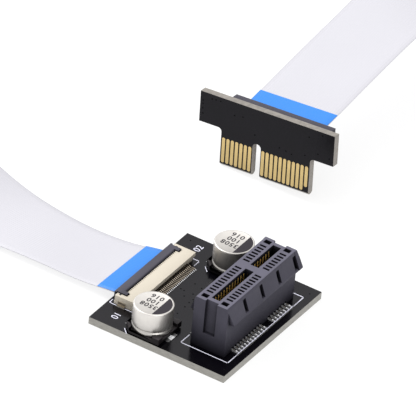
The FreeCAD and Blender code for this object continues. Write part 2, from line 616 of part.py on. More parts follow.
TOWER_FOOT = "exit_z-tower_foot"
card_pads = new_body("edge_card_pads", pose=card_pose)
first = pad(card_pads, "wire_pad", "XZ",
            box_at(WIRE_START, "wire_pad_wide", f"{TOWER_FOOT}-tower_tail/2-0.1", "tower_tail"),
            "board_thick", "pad_thick")
row(card_pads, "wire_pads", [first], "X", "wire_count", "wire_pitch")
for side, sign in SIDES:
    pad(card_pads, side + "_tab_pad", "XZ",
        box_at(f"{sign}({END_FACE}+tab_out/2+0.1)", "tab_out+0.2", "exit_z", "tab_long+0.3"),
        "board_thick", "pad_thick")


def off_card(corners):
    return [(f"board_thick+{y}", z) for y, z in corners]


tower = new_body("card_end_connector_housing", pose=card_pose)
pad(tower, "shell", "YZ", off_card(box("0", "tower_deep", TOWER_FOOT, "exit_z+tower_top")),
    f"-({END_FACE})", f"2*({END_FACE})")
cut(tower, "ribbon_room", "YZ",
    off_card(box("tower_pocket", "tower_deep", "exit_z-ribbon_thick/2-ribbon_gap",
                 "exit_z+ribbon_thick/2+tape_thick+tongue_thick+3*ribbon_gap")),
    "-(ribbon_wide/2+ribbon_gap)", "ribbon_wide+2*ribbon_gap")
way_out = [("0", TOWER_FOOT), ("spring_room", TOWER_FOOT),
           ("spring_room", f"{TOWER_FOOT}+spring_floor"),
           ("tower_deep-0.3", f"{TOWER_FOOT}+spring_floor"),
           ("tower_deep-0.3", "exit_z-ribbon_thick/2-ribbon_gap"),
           ("0", "exit_z-ribbon_thick/2-ribbon_gap")]
first = cut(tower, "spring_slot_first", "YZ", off_card(way_out),
            f"{WIRE_START}-spring_slot/2", "spring_slot")
row(tower, "spring_slots", [first], "X", "wire_count", "wire_pitch")

SPRING_FOOT = f"{TOWER_FOOT}-tower_tail"
CARD_TIP = "exit_z-ribbon_thick/2-ribbon_gap/2"
upright = [("pad_thick", SPRING_FOOT), ("pad_thick+spring_thick", SPRING_FOOT),
           ("pad_thick+spring_thick", f"{TOWER_FOOT}+spring_floor+0.15"),
           ("tower_deep-1.2", f"{TOWER_FOOT}+spring_floor+0.15"),
           ("tower_deep-0.7", f"{CARD_TIP}-spring_thick"),
           ("tower_deep-0.4", f"{CARD_TIP}-spring_thick"), ("tower_deep-0.4", CARD_TIP),
           ("tower_deep-0.8", CARD_TIP),
           ("tower_deep-1.3", f"{TOWER_FOOT}+spring_floor+0.15+spring_thick"),
           ("pad_thick", f"{TOWER_FOOT}+spring_floor+0.15+spring_thick")]
card_springs = new_body("card_end_connector_contacts", pose=card_pose)
first = pad(card_springs, "contact", "YZ", off_card(upright),
            f"{WIRE_START}-spring_wide/2", "spring_wide")
row(card_springs, "contacts", [first], "X", "wire_count", "wire_pitch")

card_tabs = new_body("card_end_connector_tabs", pose=card_pose)
for side, sign in SIDES:
    shifted = [(f"{sign}({END_FACE}+{x})", f"board_thick+{y}") for x, y in angle]
    pad(card_tabs, side + "_tab", "XY", shifted, "exit_z-tab_long/2", "tab_long")

slide = new_body("card_end_lock", pose=card_pose)
COVER_HALF = f"{END_FACE}+lock_play+arm_wide"
MOUTH_FOOT = "exit_z-ribbon_thick/2-ribbon_gap"
MOUTH_TOP = "exit_z+ribbon_thick/2+tape_thick+ribbon_gap"
pad(slide, "cover", "YZ",
    off_card(box("tower_deep+lock_play", "tower_deep+cover_deep", "exit_z-cover_foot",
                 "exit_z+cover_top")), f"-({COVER_HALF})", f"2*({COVER_HALF})")
mouth = [("tower_deep+lock_play", MOUTH_FOOT), ("tower_deep+cover_deep", MOUTH_FOOT),
         ("tower_deep+cover_deep", f"{MOUTH_TOP}+cover_flare"),
         ("tower_deep+lock_play", MOUTH_TOP)]
cut(slide, "mouth", "YZ", off_card(mouth), "-(ribbon_wide/2+ribbon_gap)",
    "ribbon_wide+2*ribbon_gap")
for side, sign in SIDES:
    pad(slide, side + "_arm", "XY",
        [(f"{sign}({x})", f"board_thick+{y}") for x, y in
         box(f"{END_FACE}+lock_play", COVER_HALF, "tower_deep-arm_long", "tower_deep+lock_play")],
        "exit_z-arm_tall/2", "arm_tall")
pad(slide, "tongue", "YZ",
    off_card(box("tower_deep-tongue_long", "tower_deep+lock_play", MOUTH_TOP,
                 f"{MOUTH_TOP}+tongue_thick")),
    "-(ribbon_wide/2)", "ribbon_wide")


# ---------------------------------------------------------------- ribbon and stiffening tape

def turn_between(a, b):
    return math.acos(max(-1.0, min(1.0, a.dot(b))))


def stations(points):
    """Positions, headings and rolls along straight runs joined by tangent arcs."""
    places = [Vector(*p[:3]) for p in points]
    rolls = [p[3] for p in points]
    runs = [(b - a).Length for a, b in zip(places, places[1:])]
    ways = [(b - a).normalize() for a, b in zip(places, places[1:])]
    found = [(places[0], ways[0], rolls[0])]
    for i in range(1, len(points) - 1):
        reach = ARC_SHARE*min(runs[i - 1], runs[i])
        bend = turn_between(ways[i - 1], ways[i])
        roll_in = rolls[i] + (rolls[i - 1] - rolls[i])*reach/runs[i - 1]
        roll_out = rolls[i] + (rolls[i + 1] - rolls[i])*reach/runs[i]
        start = places[i] - ways[i - 1]*reach
        steps = max(1, math.ceil(abs(roll_in - found[-1][2])/STATION_TURN))
        for left in range(steps, 0, -1):
            found.append((found[-1][0] + (start - found[-1][0])/left, ways[i - 1],
                          found[-1][2] + (roll_in - found[-1][2])/left))
        turned_by = max(math.degrees(bend), abs(roll_out - roll_in))
        steps = max(1, math.ceil(turned_by/STATION_TURN))
        if bend > 1e-6:
            radius = reach/math.tan(bend/2)
            print(f"bend {i}: radius {radius:.1f} mm, turn {math.degrees(bend):.1f} degrees")
            inward = (ways[i] - ways[i - 1]*ways[i].dot(ways[i - 1])).normalize()
        for j in range(1, steps + 1):
            share = j/steps
            if bend > 1e-6:
                a = bend*share
                spot = start + ways[i - 1]*(radius*math.sin(a)) + inward*(radius*(1 - math.cos(a)))
                heading = ways[i - 1]*math.cos(a) + inward*math.sin(a)
            else:
                spot = start + ways[i - 1]*(2*reach*share)
                heading = ways[i]
            found.append((spot, heading, roll_in + (roll_out - roll_in)*share))
    found.append((places[-1], ways[-1], rolls[-1]))
    return found


def corners_at(station, low, high):
    """Four corners across the ribbon, from one height above its middle to another."""
    spot, heading, roll_angle = station
    level = Vector(0, 0, 1).cross(heading).normalize()
    up = heading.cross(level)
    a = math.radians(roll_angle)
    across = level*math.cos(a) - up*math.sin(a)
    normal = up*math.cos(a) + level*math.sin(a)
    half = size["ribbon_wide"]/2
    return [spot + across*half + normal*low, spot - across*half + normal*low,
            spot - across*half + normal*high, spot + across*half + normal*high]


def strip_solid(found, low, high):
    rings = [corners_at(s, low, high) for s in found]
    faces = []
    for before, after in zip(rings, rings[1:]):
        for i in range(4):
            j = (i + 1) % 4
            faces.append(Part.makeRuledSurface(Part.makeLine(before[i], before[j]),
                                               Part.makeLine(after[i], after[j])))
    for ring in (rings[0], rings[-1]):
        faces.append(Part.Face(Part.makePolygon(ring + ring[:1])))
    shell = Part.makeShell(faces)
    shell.sewShape(1e-4)
    solid = Part.makeSolid(shell)
    if solid.Volume < 0:
        solid.reverse()
    return solid


def path_length(found):
    return sum((b[0] - a[0]).Length for a, b in zip(found, found[1:]))


def card_point(depth):
    return card_pose.multVec(Vector(0, size["board_thick"] + depth, size["exit_z"]))


half_thick = size["ribbon_thick"]/2
flat_z = size["board_thick"] + size["flat_floor"] + size["ribbon_gap"] + half_thick
lock_face = size["flat_x"] - size["lock_reach"]
seat_x = size["flat_x"] - size["flat_seat"] - size["ribbon_gap"]
cover_face = size["tower_deep"] + size["cover_deep"]
into_card = card_pose.Rotation.multVec(Vector(0, -1, 0))
across_card = card_pose.Rotation.multVec(Vector(1, 0, 0))
level_card = Vector(0, 0, 1).cross(into_card).normalize()
end_roll = -math.degrees(math.asin(across_card.dot(into_card.cross(level_card))))
socket_end = [(seat_x, 0.0, flat_z, 0.0), (lock_face + 1.8, 0.0, flat_z, 0.0),
              (lock_face - 0.5, 0.0, flat_z, 0.0)]
card_end = [(*card_point(cover_face + 0.2), end_roll), (*card_point(cover_face - 2.0), end_roll),
            (*card_point(size["tower_pocket"] + size["ribbon_gap"]), end_roll)]
points = socket_end + ROUTE + card_end
print("route", [tuple(round(v, 3) for v in p) for p in points])
found = stations(points)
length = path_length(found)
print(f"ribbon length {length:.1f} mm, {len(found)} stations")


def strip_part(label, run, low, high):
    part = doc.addObject("Part::Feature", label)
    part.Label = label
    part.Shape = strip_solid(run, low, high)
    part.Placement = FreeCAD.Placement()
    return part


def run_until(run, covered):
    """The first part of a run, ending after a given length."""
    kept = [run[0]]
    for a, b in zip(run, run[1:]):
        step = (b[0] - a[0]).Length
        if covered <= step:
            share = covered/step
            kept.append((a[0] + (b[0] - a[0])*share, b[1] if share > 0.5 else a[1],
                         a[2] + (b[2] - a[2])*share))
            return kept
        kept.append(b)
        covered -= step
    return kept


ribbon = strip_part("ribbon_cable", found, -half_thick, half_thick)
by_section = size["ribbon_wide"]*size["ribbon_thick"]*length
print(f"ribbon volume {ribbon.Shape.Volume:.1f}, section by length {by_section:.1f}")
tape_high = half_thick + size["tape_thick"]
socket_run = run_until(found, abs(size["socket_tape_end"] - seat_x)*1.005)
strip_part("stiffener_socket_end", socket_run, half_thick, tape_high)
card_run = run_until(found[::-1], size["card_tape_end"] - size["tower_pocket"])
strip_part("stiffener_card_end", card_run[::-1], half_thick, tape_high)


# ---------------------------------------------------------------- checks and files

doc.recompute()
for item in doc.Objects:
    faults = [s for s in item.State if s in ("Invalid", "Error")]
    if faults:
        raise SystemExit(f"{item.Label}: {faults}")
    if item.TypeId == "PartDesign::Pocket":
        before = item.BaseFeature.Shape.Volume
        if item.Shape.Volume > before - 1e-6:
            raise SystemExit(f"{item.Label} in {item.getParentGeoFeatureGroup().Label} cuts nothing")

os.makedirs("parts", exist_ok=True)
written = 0
for item in doc.Objects:
    if item.TypeId not in ("PartDesign::Body", "Part::Feature"):
        continue
    shape = item.Shape
    if shape.isNull() or not shape.isValid() or not shape.Solids:
        raise SystemExit(f"{item.Label}: bad shape")
    shape.exportStep(f"parts/{item.Label}.step")
    written += 1
    low = shape.BoundBox
    print(f"{item.Label:32s} solids {len(shape.Solids):3d} volume {shape.Volume:9.2f} "
          f"x {low.XMin:.2f} {low.XMax:.2f} y {low.YMin:.2f} {low.YMax:.2f} "
          f"z {low.ZMin:.2f} {low.ZMax:.2f}")
print("written", written)
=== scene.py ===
import bmesh
import bpy
import math
from mathutils import Matrix, Vector


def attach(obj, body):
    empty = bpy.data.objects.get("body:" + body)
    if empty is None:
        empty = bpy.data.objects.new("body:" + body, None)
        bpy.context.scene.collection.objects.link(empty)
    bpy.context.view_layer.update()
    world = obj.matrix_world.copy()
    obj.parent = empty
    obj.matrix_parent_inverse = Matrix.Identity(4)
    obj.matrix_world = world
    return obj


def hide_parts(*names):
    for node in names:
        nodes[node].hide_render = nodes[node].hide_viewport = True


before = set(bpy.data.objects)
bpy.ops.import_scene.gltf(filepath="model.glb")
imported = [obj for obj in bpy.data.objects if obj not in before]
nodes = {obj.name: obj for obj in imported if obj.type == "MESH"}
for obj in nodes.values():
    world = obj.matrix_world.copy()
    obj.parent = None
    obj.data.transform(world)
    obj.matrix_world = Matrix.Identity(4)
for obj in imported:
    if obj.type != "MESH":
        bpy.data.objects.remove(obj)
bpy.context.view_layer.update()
MM = 0.001

# ---------------------------------------------------------------- places, in mm and degrees
BOARD_THICK = 1.57
BOARD_TOP = BOARD_THICK
PAD_TOP = BOARD_TOP + 0.08
SOCKET_X = 8.25
FLAT_X = -9.3
CANS = {"near": (-3.8, -13.4), "far": (-2.5, 13.4)}

# the edge card stands on one corner of its tab
CARD_ROLL = -5.05
CARD_LEAN = -5.3
CARD_TURN = (Matrix.Rotation(math.radians(CARD_ROLL), 4, "Y")
             @ Matrix.Rotation(math.radians(CARD_LEAN), 4, "X"))
CORNER_ON_FLOOR = Vector((-23.8, 43.65, 0.0))
CORNER_ON_CARD = Vector((-10.15, 1.12, 0.0))
CARD_ORIGIN = CORNER_ON_FLOOR - CARD_TURN @ CORNER_ON_CARD
CARD_POSE = Matrix.Translation(CARD_ORIGIN) @ CARD_TURN

# the ribbon, and its route with its roll: 0 is flat with the taped side up, 90 on edge
CONDUCTORS = 34
WIRE_PITCH = 0.5
RIBBON_WIDE = 17.5
RIBBON_THICK = 0.2
TAPE_THICK = 0.12
RIBBON_EXIT = 11.0
ROUTE = [
    (-10.25, 0.0, 2.47, 0.0),
    (-12.8, 0.0, 2.47, 0.0),
    (-15.1, 0.0, 2.47, 0.0),
    (-23.7, 0.0, 1.00, -3.0),
    (-35.0, 0.0, 1.00, -4.5),
    (-49.0, 0.0, 1.90, 6.0),
    (-62.0, 0.0, 5.40, 32.0),
    (-75.0, 0.0, 8.70, 68.0),
    (-88.0, 0.0, 9.20, 90.0),
    (-108.0, 9.0, 9.20, 90.0),
    (-115.0, 34.0, 9.20, 90.0),
    (-112.0, 88.0, 9.20, 90.0),
    (-98.0, 124.0, 9.20, 90.0),
    (-70.0, 150.0, 9.20, 90.0),
    (-40.0, 156.0, 9.20, 90.0),
    (-18.5, 138.0, 9.40, 90.0),
    (-15.2, 114.0, 11.30, 45.0),
    (-15.4, 94.0, 14.45, -5.0),
    (-15.1, 70.0, 12.80, -5.05),
]
# its last three points lie straight behind the card, at these depths off the back face
ROUTE += [(*(CARD_POSE @ Vector((0.0, BOARD_THICK + depth, RIBBON_EXIT))), CARD_ROLL)
          for depth in (5.6, 3.4, 1.15)]


# ---------------------------------------------------------------- node helpers

# for the painted shade: how far off, in mm, a wall still darkens a spot, and how fast that
# darkening sets in
PAINTED_SHADE_REACH = 8.0
PAINTED_SHADE_FALLOFF = 2.2


class Shader:
    """A Principled material and short names for the nodes that feed it."""

    def __init__(self, name, rough, metal=0.0, specular=0.5):
        self.material = bpy.data.materials.new(name)
        self.material.use_nodes = True
        self.tree = self.material.node_tree
        self.shader = self.tree.nodes["Principled BSDF"]
        self.shader.inputs["Roughness"].default_value = rough
        self.shader.inputs["Metallic"].default_value = metal
        self.shader.inputs["Specular IOR Level"].default_value = specular

    def node(self, kind, **values):
        """Add a shader node and set its values."""
        made = self.tree.nodes.new("ShaderNode" + kind)
        for key, value in values.items():
            setattr(made, key, value)
        return made

    def link(self, source, target):
        """Feed a socket from another one, or set it where the source is a plain value."""
        if isinstance(source, (int, float)):
            target.default_value = source
        elif isinstance(source, tuple):
            target.default_value = (*source, 1.0)
        else:
            self.tree.links.new(source, target)

    def coords(self, stretch=(1, 1, 1), kind="Object"):
        """Texture coordinates, in metres for the Object kind, stretched along their axes."""
        mapping = self.node("Mapping")
        mapping.inputs["Scale"].default_value = stretch
        self.link(self.node("TexCoord").outputs[kind], mapping.inputs["Vector"])
        return mapping.outputs["Vector"]

    def noise(self, scale, detail=3.0, rough=0.55, stretch=(1, 1, 1), distortion=0.0):
        """Cloudy values from 0 to 1, scale of them to the metre."""
        made = self.node("TexNoise")
        made.inputs["Scale"].default_value = scale
        made.inputs["Detail"].default_value = detail
        made.inputs["Roughness"].default_value = rough
        made.inputs["Distortion"].default_value = distortion
        self.link(self.coords(stretch), made.inputs["Vector"])
        return made.outputs["Fac"]

    def wave(self, scale, direction="X", kind="Object"):
        """Even bands from 0 to 1 along one direction."""
        made = self.node("TexWave", bands_direction=direction)
        made.inputs["Scale"].default_value = scale
        self.link(self.coords(kind=kind), made.inputs["Vector"])
        return made.outputs["Fac"]

    def ramp(self, factor, stops):
        """Turn a value into a colour, by two stops of (place, colour)."""
        made = self.node("ValToRGB")
        elements = made.color_ramp.elements
        for element, (place, colour) in zip(elements, stops):
            element.position = place
            element.color = (*colour, 1.0)
        self.link(factor, made.inputs["Fac"])
        return made.outputs["Color"]

    def mix(self, factor, a, b, blend="MIX"):
        """Mix two colours by a factor, or blend the second into the first."""
        made = self.node("Mix", data_type="RGBA", blend_type=blend)
        for value, index in ((factor, 0), (a, 6), (b, 7)):
            self.link(value, made.inputs[index])
        return made.outputs[2]

    def math(self, operation, a, b=0.0):
        """One arithmetic node."""
        made = self.node("Math", operation=operation)
        self.link(a, made.inputs[0])
        self.link(b, made.inputs[1])
        return made.outputs[0]

    def spread(self, factor, low, high, start=0.0, end=1.0):
        """Carry the range from start to end over to the one from low to high."""
        made = self.node("MapRange")
        made.inputs["From Min"].default_value = start
        made.inputs["From Max"].default_value = end
        made.inputs["To Min"].default_value = low
        made.inputs["To Max"].default_value = high
        self.link(factor, made.inputs["Value"])
        return made.outputs["Result"]

    def painted_shade(self, deepest_shade, side_shade=1.0):
        """Painted shade: 1 on open top faces, less on upright faces, and less still, down to a
        least value, in slots and corners.
        """
        made = self.node("AmbientOcclusion")
        made.inputs["Distance"].default_value = PAINTED_SHADE_REACH*MM
        shade = self.math("POWER", made.outputs["AO"], PAINTED_SHADE_FALLOFF)
        crevice_shade = self.spread(shade, deepest_shade, 1.0)
        # painted shade on upright faces, by how far the normal turns from straight up
        normal = self.node("SeparateXYZ")
        self.link(self.node("NewGeometry").outputs["Normal"], normal.inputs["Vector"])
        upright = self.spread(normal.outputs["Z"], side_shade, 1.0, start=0.6, end=0.95)
        return self.math("MULTIPLY", crevice_shade, upright)

    def bump(self, height, distance, strength=0.5):
        """Raise the surface by a height from 0 to 1 of distance in mm."""
        made = self.node("Bump")
        made.inputs["Distance"].default_value = distance*MM
        made.inputs["Strength"].default_value = strength
        self.link(height, made.inputs["Height"])
        self.link(made.outputs["Normal"], self.shader.inputs["Normal"])

    def colour(self, source):
        self.link(source, self.shader.inputs["Base Color"])

    def rough(self, source):
        self.link(source, self.shader.inputs["Roughness"])


def linear(r, g, b):
    """Linear colour from 0-255 display values."""
    return tuple((v/255/12.92) if v/255 <= 0.04045 else ((v/255 + 0.055)/1.055)**2.4
                 for v in (r, g, b))


def shades(colour, low, high):
    """The two stops of a ramp between a darker and a lighter shade of one colour."""
    return [(0.3, tuple(min(1.0, c*low) for c in colour)),
            (0.7, tuple(min(1.0, c*high) for c in colour))]


# ---------------------------------------------------------------- materials

MASK = linear(5, 4, 8)
PLASTIC_SPECULAR = 0.3


def board_material(name, facing, specular, edge):
    """Black solder mask over woven glass on the faces, pale bare laminate on the edges."""
    s = Shader(name, rough=0.2, specular=specular)
    s.shader.inputs["Specular Tint"].default_value = (0.95, 0.93, 1.0, 1.0)
    clouds = s.ramp(s.noise(scale=420.0, detail=4.0), shades(MASK, low=0.7, high=1.3))
    specks = s.ramp(s.noise(scale=5200.0, detail=2.0),
                    [(0.40, (0.65, 0.65, 0.65)), (0.62, (1.15, 1.15, 1.2))])
    mask = s.mix(1.0, clouds, specks, "MULTIPLY")
    fibres = s.ramp(s.noise(scale=900.0, detail=4.0, rough=0.7, stretch=(1, 1, 6)),
                    shades(edge, low=0.72, high=1.12))
    dot = s.node("VectorMath", operation="DOT_PRODUCT")
    s.link(s.node("NewGeometry").outputs["Normal"], dot.inputs[0])
    dot.inputs[1].default_value = facing
    on_face = s.math("GREATER_THAN", s.math("ABSOLUTE", dot.outputs["Value"]), 0.97)
    s.colour(s.mix(on_face, fibres, mask))
    gloss = s.spread(s.noise(scale=1500.0), 0.14, 0.26)
    on_edge = s.math("SUBTRACT", 1.0, on_face)
    s.rough(s.math("ADD", gloss, s.math("MULTIPLY", on_edge, 0.3)))
    weave = s.math("ADD", s.wave(scale=320.0), s.wave(scale=320.0, direction="Y"))
    s.bump(s.math("ADD", s.math("MULTIPLY", weave, 0.25), s.noise(scale=2600.0)),
           distance=0.012, strength=0.25)
    return s.material


def moulded(name, colour, rough, grain, vary=0.12, deepest_shade=0.1, side_shade=0.55):
    """Moulded plastic: fine spark-eroded grain, faint flow marks, uneven gloss, and painted shade
    in slots, in corners and on upright faces.
    """
    s = Shader(name, rough)
    flow = s.noise(scale=160.0, stretch=(1.0, 0.35, 1.0), distortion=0.6)
    plastic = s.ramp(flow, shades(colour, 1.0 - vary, 1.0 + vary))
    # painted shade: the colour and the specular are darkened in slots, in corners and on upright
    # faces
    painted_shade = s.painted_shade(deepest_shade, side_shade)
    s.colour(s.mix(1.0, plastic, painted_shade, "MULTIPLY"))
    s.link(s.math("MULTIPLY", painted_shade, PLASTIC_SPECULAR), s.shader.inputs["Specular IOR Level"])
    s.rough(s.spread(s.noise(scale=900.0, detail=2.0), rough - 0.07, rough + 0.07))
    s.bump(s.math("ADD", s.noise(scale=6500.0, detail=2.0), s.math("MULTIPLY", flow, 0.5)),
           distance=grain, strength=0.6)
    return s.material


def metal(name, colour, rough=0.36, stretch=(1, 1, 1), vary=0.1, dents=0.01, foot=None,
          deepest_shade=0.7, shine=1.0):
    """Plated metal: slightly cloudy, with drawing marks along one direction, and painted shade in
    slots and corners.

    foot is another plating, and the height in mm that it ends at.
    """
    s = Shader(name, rough, metal=shine)
    cloud = s.noise(scale=500.0)
    plating = s.ramp(cloud, shades(colour, 1.0 - vary, 1.0 + vary))
    if foot:
        foot_colour, foot_top = foot
        height = s.node("SeparateXYZ")
        s.link(s.node("TexCoord").outputs["Object"], height.inputs["Vector"])
        above = s.math("GREATER_THAN", height.outputs["Z"], foot_top*MM)
        under = s.ramp(cloud, shades(foot_colour, 1.0 - vary, 1.0 + vary))
        plating = s.mix(above, under, plating)
    # painted shade in slots and corners
    s.colour(s.mix(1.0, plating, s.painted_shade(deepest_shade), "MULTIPLY"))
    s.rough(s.spread(s.noise(scale=1400.0, stretch=stretch), rough - 0.08, rough + 0.1))
    s.bump(s.noise(scale=2400.0, stretch=stretch), distance=dents)
    return s.material


def ribbon_material(name, colour, stripe, depth):
    """Laminated flat cable: the conductors show as faint lines under a smooth skin."""
    s = Shader(name, rough=0.34, specular=0.3)
    # a wave texture of scale 1 turns through 20 radians across the ribbon
    lines = s.wave(scale=CONDUCTORS*2*math.pi/20, kind="UV")
    skin = s.ramp(s.noise(scale=60.0), shades(colour, low=0.985, high=1.01))
    s.colour(s.mix(s.math("MULTIPLY", lines, stripe), skin, tuple(c*0.8 for c in colour)))
    s.rough(s.spread(s.noise(scale=300.0), 0.28, 0.42))
    waviness = s.math("MULTIPLY", s.noise(scale=120.0, detail=2.0), 0.6)
    s.bump(s.math("ADD", lines, waviness), distance=depth)
    return s.material


def ink(name, colour, rough, specular=0.3):
    """Screen-printed ink: slightly broken, with a rough surface."""
    s = Shader(name, rough, specular=specular)
    s.colour(s.ramp(s.noise(scale=2600.0), shades(colour, low=0.88, high=1.05)))
    s.bump(s.noise(scale=5200.0, detail=2.0), distance=0.01)
    return s.material


CARD_NORMAL = tuple(CARD_TURN @ Vector((0, 1, 0)))
BOARD = board_material("board_mask", (0, 0, 1), specular=0.32, edge=linear(149, 147, 141))
CARD = board_material("card_mask", CARD_NORMAL, specular=0.2, edge=linear(140, 135, 129))
# in the materials below, the last numbers set how deep the painted shade goes in slots and
# corners and, for moulded plastic, on upright faces
SOCKET = moulded("socket_plastic", linear(91, 89, 103), rough=0.5, grain=0.05, deepest_shade=0.03,
                 side_shade=0.48)
BLACK = moulded("black_plastic", linear(68, 66, 76), rough=0.48, grain=0.03)
BASE = moulded("base_plastic", linear(66, 61, 64), rough=0.42, grain=0.02, deepest_shade=0.35,
               side_shade=0.35)
CREAM = moulded("cream_plastic", linear(196, 188, 173), rough=0.5, grain=0.015, vary=0.04,
                deepest_shade=0.95, side_shade=1.0)
GOLD = metal("gold_plate", linear(212, 187, 131), rough=0.34, stretch=(1, 1, 0.15), vary=0.06)
CONTACT_GOLD = metal("contact_gold", linear(240, 205, 125), deepest_shade=1.0, shine=0.75,
                     foot=(linear(230, 230, 232), BOARD_TOP + 1.6))
TIN = metal("tin_plate", linear(228, 228, 230), dents=0.02, deepest_shade=1.0)
PAD = metal("pad_tin", linear(228, 228, 230), dents=0.02, deepest_shade=0.25)
CAN = metal("can_aluminium", linear(222, 218, 213), stretch=(1, 1, 0.08), vary=0.05,
            deepest_shade=0.3, shine=0.84)
WIRE = metal("tinned_wire", linear(222, 208, 190), deepest_shade=0.3)
# the tabs' tin is tinted warm like the cream housing beside it: painted reflection and painted
# shade
TAB = metal("tab_plate", linear(205, 194, 176), rough=0.4, deepest_shade=0.6)
SOLDER = metal("solder", linear(238, 238, 240), rough=0.45, vary=0.06, dents=0.02,
               deepest_shade=1.0, shine=0.5)
# the socket tails' tin painted dark: painted shade and painted reflection of the dark housing
# above them
SHADED_TAIL_TIN = metal("tail_tin_painted_shade", linear(150, 143, 135), rough=0.4, vary=0.08, dents=0.02,
             deepest_shade=0.12, shine=0.8)
WHITE_INK = ink("white_ink", linear(226, 226, 240), rough=0.55)
DARK_INK = ink("dark_ink", linear(40, 35, 42), rough=0.5)
DIGIT_INK = ink("digit_ink", linear(44, 41, 46), rough=0.6)
VIA = ink("via_mask", linear(9, 8, 11), rough=0.7, specular=0.08)
RIBBON = ribbon_material("ribbon_laminate", linear(193, 192, 198), stripe=0.16, depth=0.03)
TAPE = ribbon_material("blue_tape", linear(54, 128, 213), stripe=0.10, depth=0.02)

NODE_MATERIALS = {
    "socket_board": BOARD, "edge_card": CARD, "socket_board_pads": PAD, "edge_card_pads": TIN,
    "socket_housing": SOCKET, "socket_contacts_inner": CONTACT_GOLD,
    "socket_contacts_outer": CONTACT_GOLD, "socket_end_connector_housing": CREAM,
    "socket_end_connector_contacts": WIRE, "socket_end_connector_tabs": TAB,
    "socket_end_lock": BLACK, "capacitor_near_can": CAN, "capacitor_near_base": BASE,
    "capacitor_near_leads": SOLDER, "capacitor_far_can": CAN, "capacitor_far_base": BASE,
    "capacitor_far_leads": SOLDER, "edge_fingers_front": GOLD, "edge_fingers_back": GOLD,
    "card_end_connector_housing": CREAM, "card_end_connector_contacts": WIRE,
    "card_end_connector_tabs": TAB, "card_end_lock": BLACK, "ribbon_cable": RIBBON,
    "stiffener_socket_end": TAPE, "stiffener_card_end": TAPE,
}
for node, material in NODE_MATERIALS.items():
    data = nodes[node].data
    data.materials.clear()
    data.materials.append(material)


# ---------------------------------------------------------------- mesh helpers

def add_object(name, data):
    made = bpy.data.objects.new(name, data)
    bpy.context.scene.collection.objects.link(made)
    return made


def mesh_piece(name, mesh, material, body="riser", slot=None, smooth=None):
    """Dress a mesh that is in metres and put it on its body.

    smooth is the angle in degrees above which an edge stays sharp.
    """
    mesh.materials.clear()
    mesh.materials.append(material)
    if smooth is not None:
        mesh.shade_smooth()
        mesh.set_sharp_from_angle(angle=math.radians(smooth))
    piece = add_object(name, mesh)
    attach(piece, body)
    return piece


def to_mesh(name, bm):
    mesh = bpy.data.meshes.new(name)
    bm.to_mesh(mesh)
    bm.free()
    return mesh


def new_piece(name, bm, material, matrix=None, **looks):
    """A piece drawn in mm, moved by matrix and brought to metres."""
    if matrix is not None:
        bm.transform(matrix)
    bm.transform(Matrix.Scale(MM, 4))
    bmesh.ops.recalc_face_normals(bm, faces=bm.faces)
    return mesh_piece(name, to_mesh(name, bm), material, **looks)


def add_walls(bm, near, far):
    """The faces between two closed loops of vertices."""
    for i in range(len(near)):
        j = (i + 1) % len(near)
        bm.faces.new((near[i], near[j], far[j], far[i]))


def add_prism(bm, outline, low, high):
    """Upright prism over a closed outline of (x, y)."""
    under = [bm.verts.new((x, y, low)) for x, y in outline]
    over = [bm.verts.new((x, y, high)) for x, y in outline]
    bm.faces.new(under[::-1])
    bm.faces.new(over)
    add_walls(bm, under, over)


def add_line(bm, points, wide, low, high):
    """A printed line: a flat strip along points, square at its corners."""
    for start, end in zip(points, points[1:]):
        along = (Vector(end) - Vector(start)).normalized()*wide/2
        side = Vector((-along.y, along.x))
        a = Vector(start) - along
        b = Vector(end) + along
        add_prism(bm, [tuple(a - side), tuple(b - side), tuple(b + side), tuple(a + side)],
                  low, high)


def ring(count, radius, x=0.0, y=0.0):
    """Even points (x, y) round a circle."""
    return [(x + radius*math.cos(2*math.pi*i/count), y + radius*math.sin(2*math.pi*i/count))
            for i in range(count)]


def lathe(profile):
    """A round body about Z from a profile of (radius, height)."""
    turns = 72
    bm = bmesh.new()
    loops = []
    for r, z in profile:
        places = ring(turns, r) if r else [(0, 0)]
        loops.append([bm.verts.new((x, y, z)) for x, y in places])
    for a, b in zip(loops, loops[1:]):
        for i in range(turns):
            j = (i + 1) % turns
            corners = [a[i % len(a)], a[j % len(a)], b[j % len(b)], b[i % len(b)]]
            unique = list(dict.fromkeys(corners))
            if len(unique) > 2:
                bm.faces.new(unique)
    return bm


# faces within the first angle of each other become one, edges above the second are rounded
FLAT_WITHIN = math.radians(0.8)
SHARP_ABOVE = math.radians(40.0)


def softened(node, width, material, body="riser"):
    """The CAD part again with its edges rounded as a mould leaves them, width in mm."""
    bm = bmesh.new()
    bm.from_mesh(nodes[node].data)
    low = [min(v.co[axis] for v in bm.verts) for axis in range(3)]
    high = [max(v.co[axis] for v in bm.verts) for axis in range(3)]
    bmesh.ops.remove_doubles(bm, verts=bm.verts, dist=2e-6)
    bmesh.ops.dissolve_limit(bm, angle_limit=FLAT_WITHIN, verts=bm.verts, edges=bm.edges)
    sharp = [e for e in bm.edges if len(e.link_faces) == 2
             and e.calc_face_angle(0.0) > SHARP_ABOVE]
    bmesh.ops.bevel(bm, geom=sharp, offset=width*MM, segments=2, profile=0.6,
                    affect="EDGES", clamp_overlap=False)
    bmesh.ops.remove_doubles(bm, verts=bm.verts, dist=1e-6)
    # a rounded edge never stands outside the CAD part
    for v in bm.verts:
        v.co = Vector(max(low[axis], min(high[axis], v.co[axis])) for axis in range(3))
    name = node + "_moulding"
    mesh = to_mesh(name, bm)
    if "custom_normal" in mesh.attributes:
        mesh.attributes.remove(mesh.attributes["custom_normal"])
    piece = mesh_piece(name, mesh, material, body, smooth=32)
    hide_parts(node)


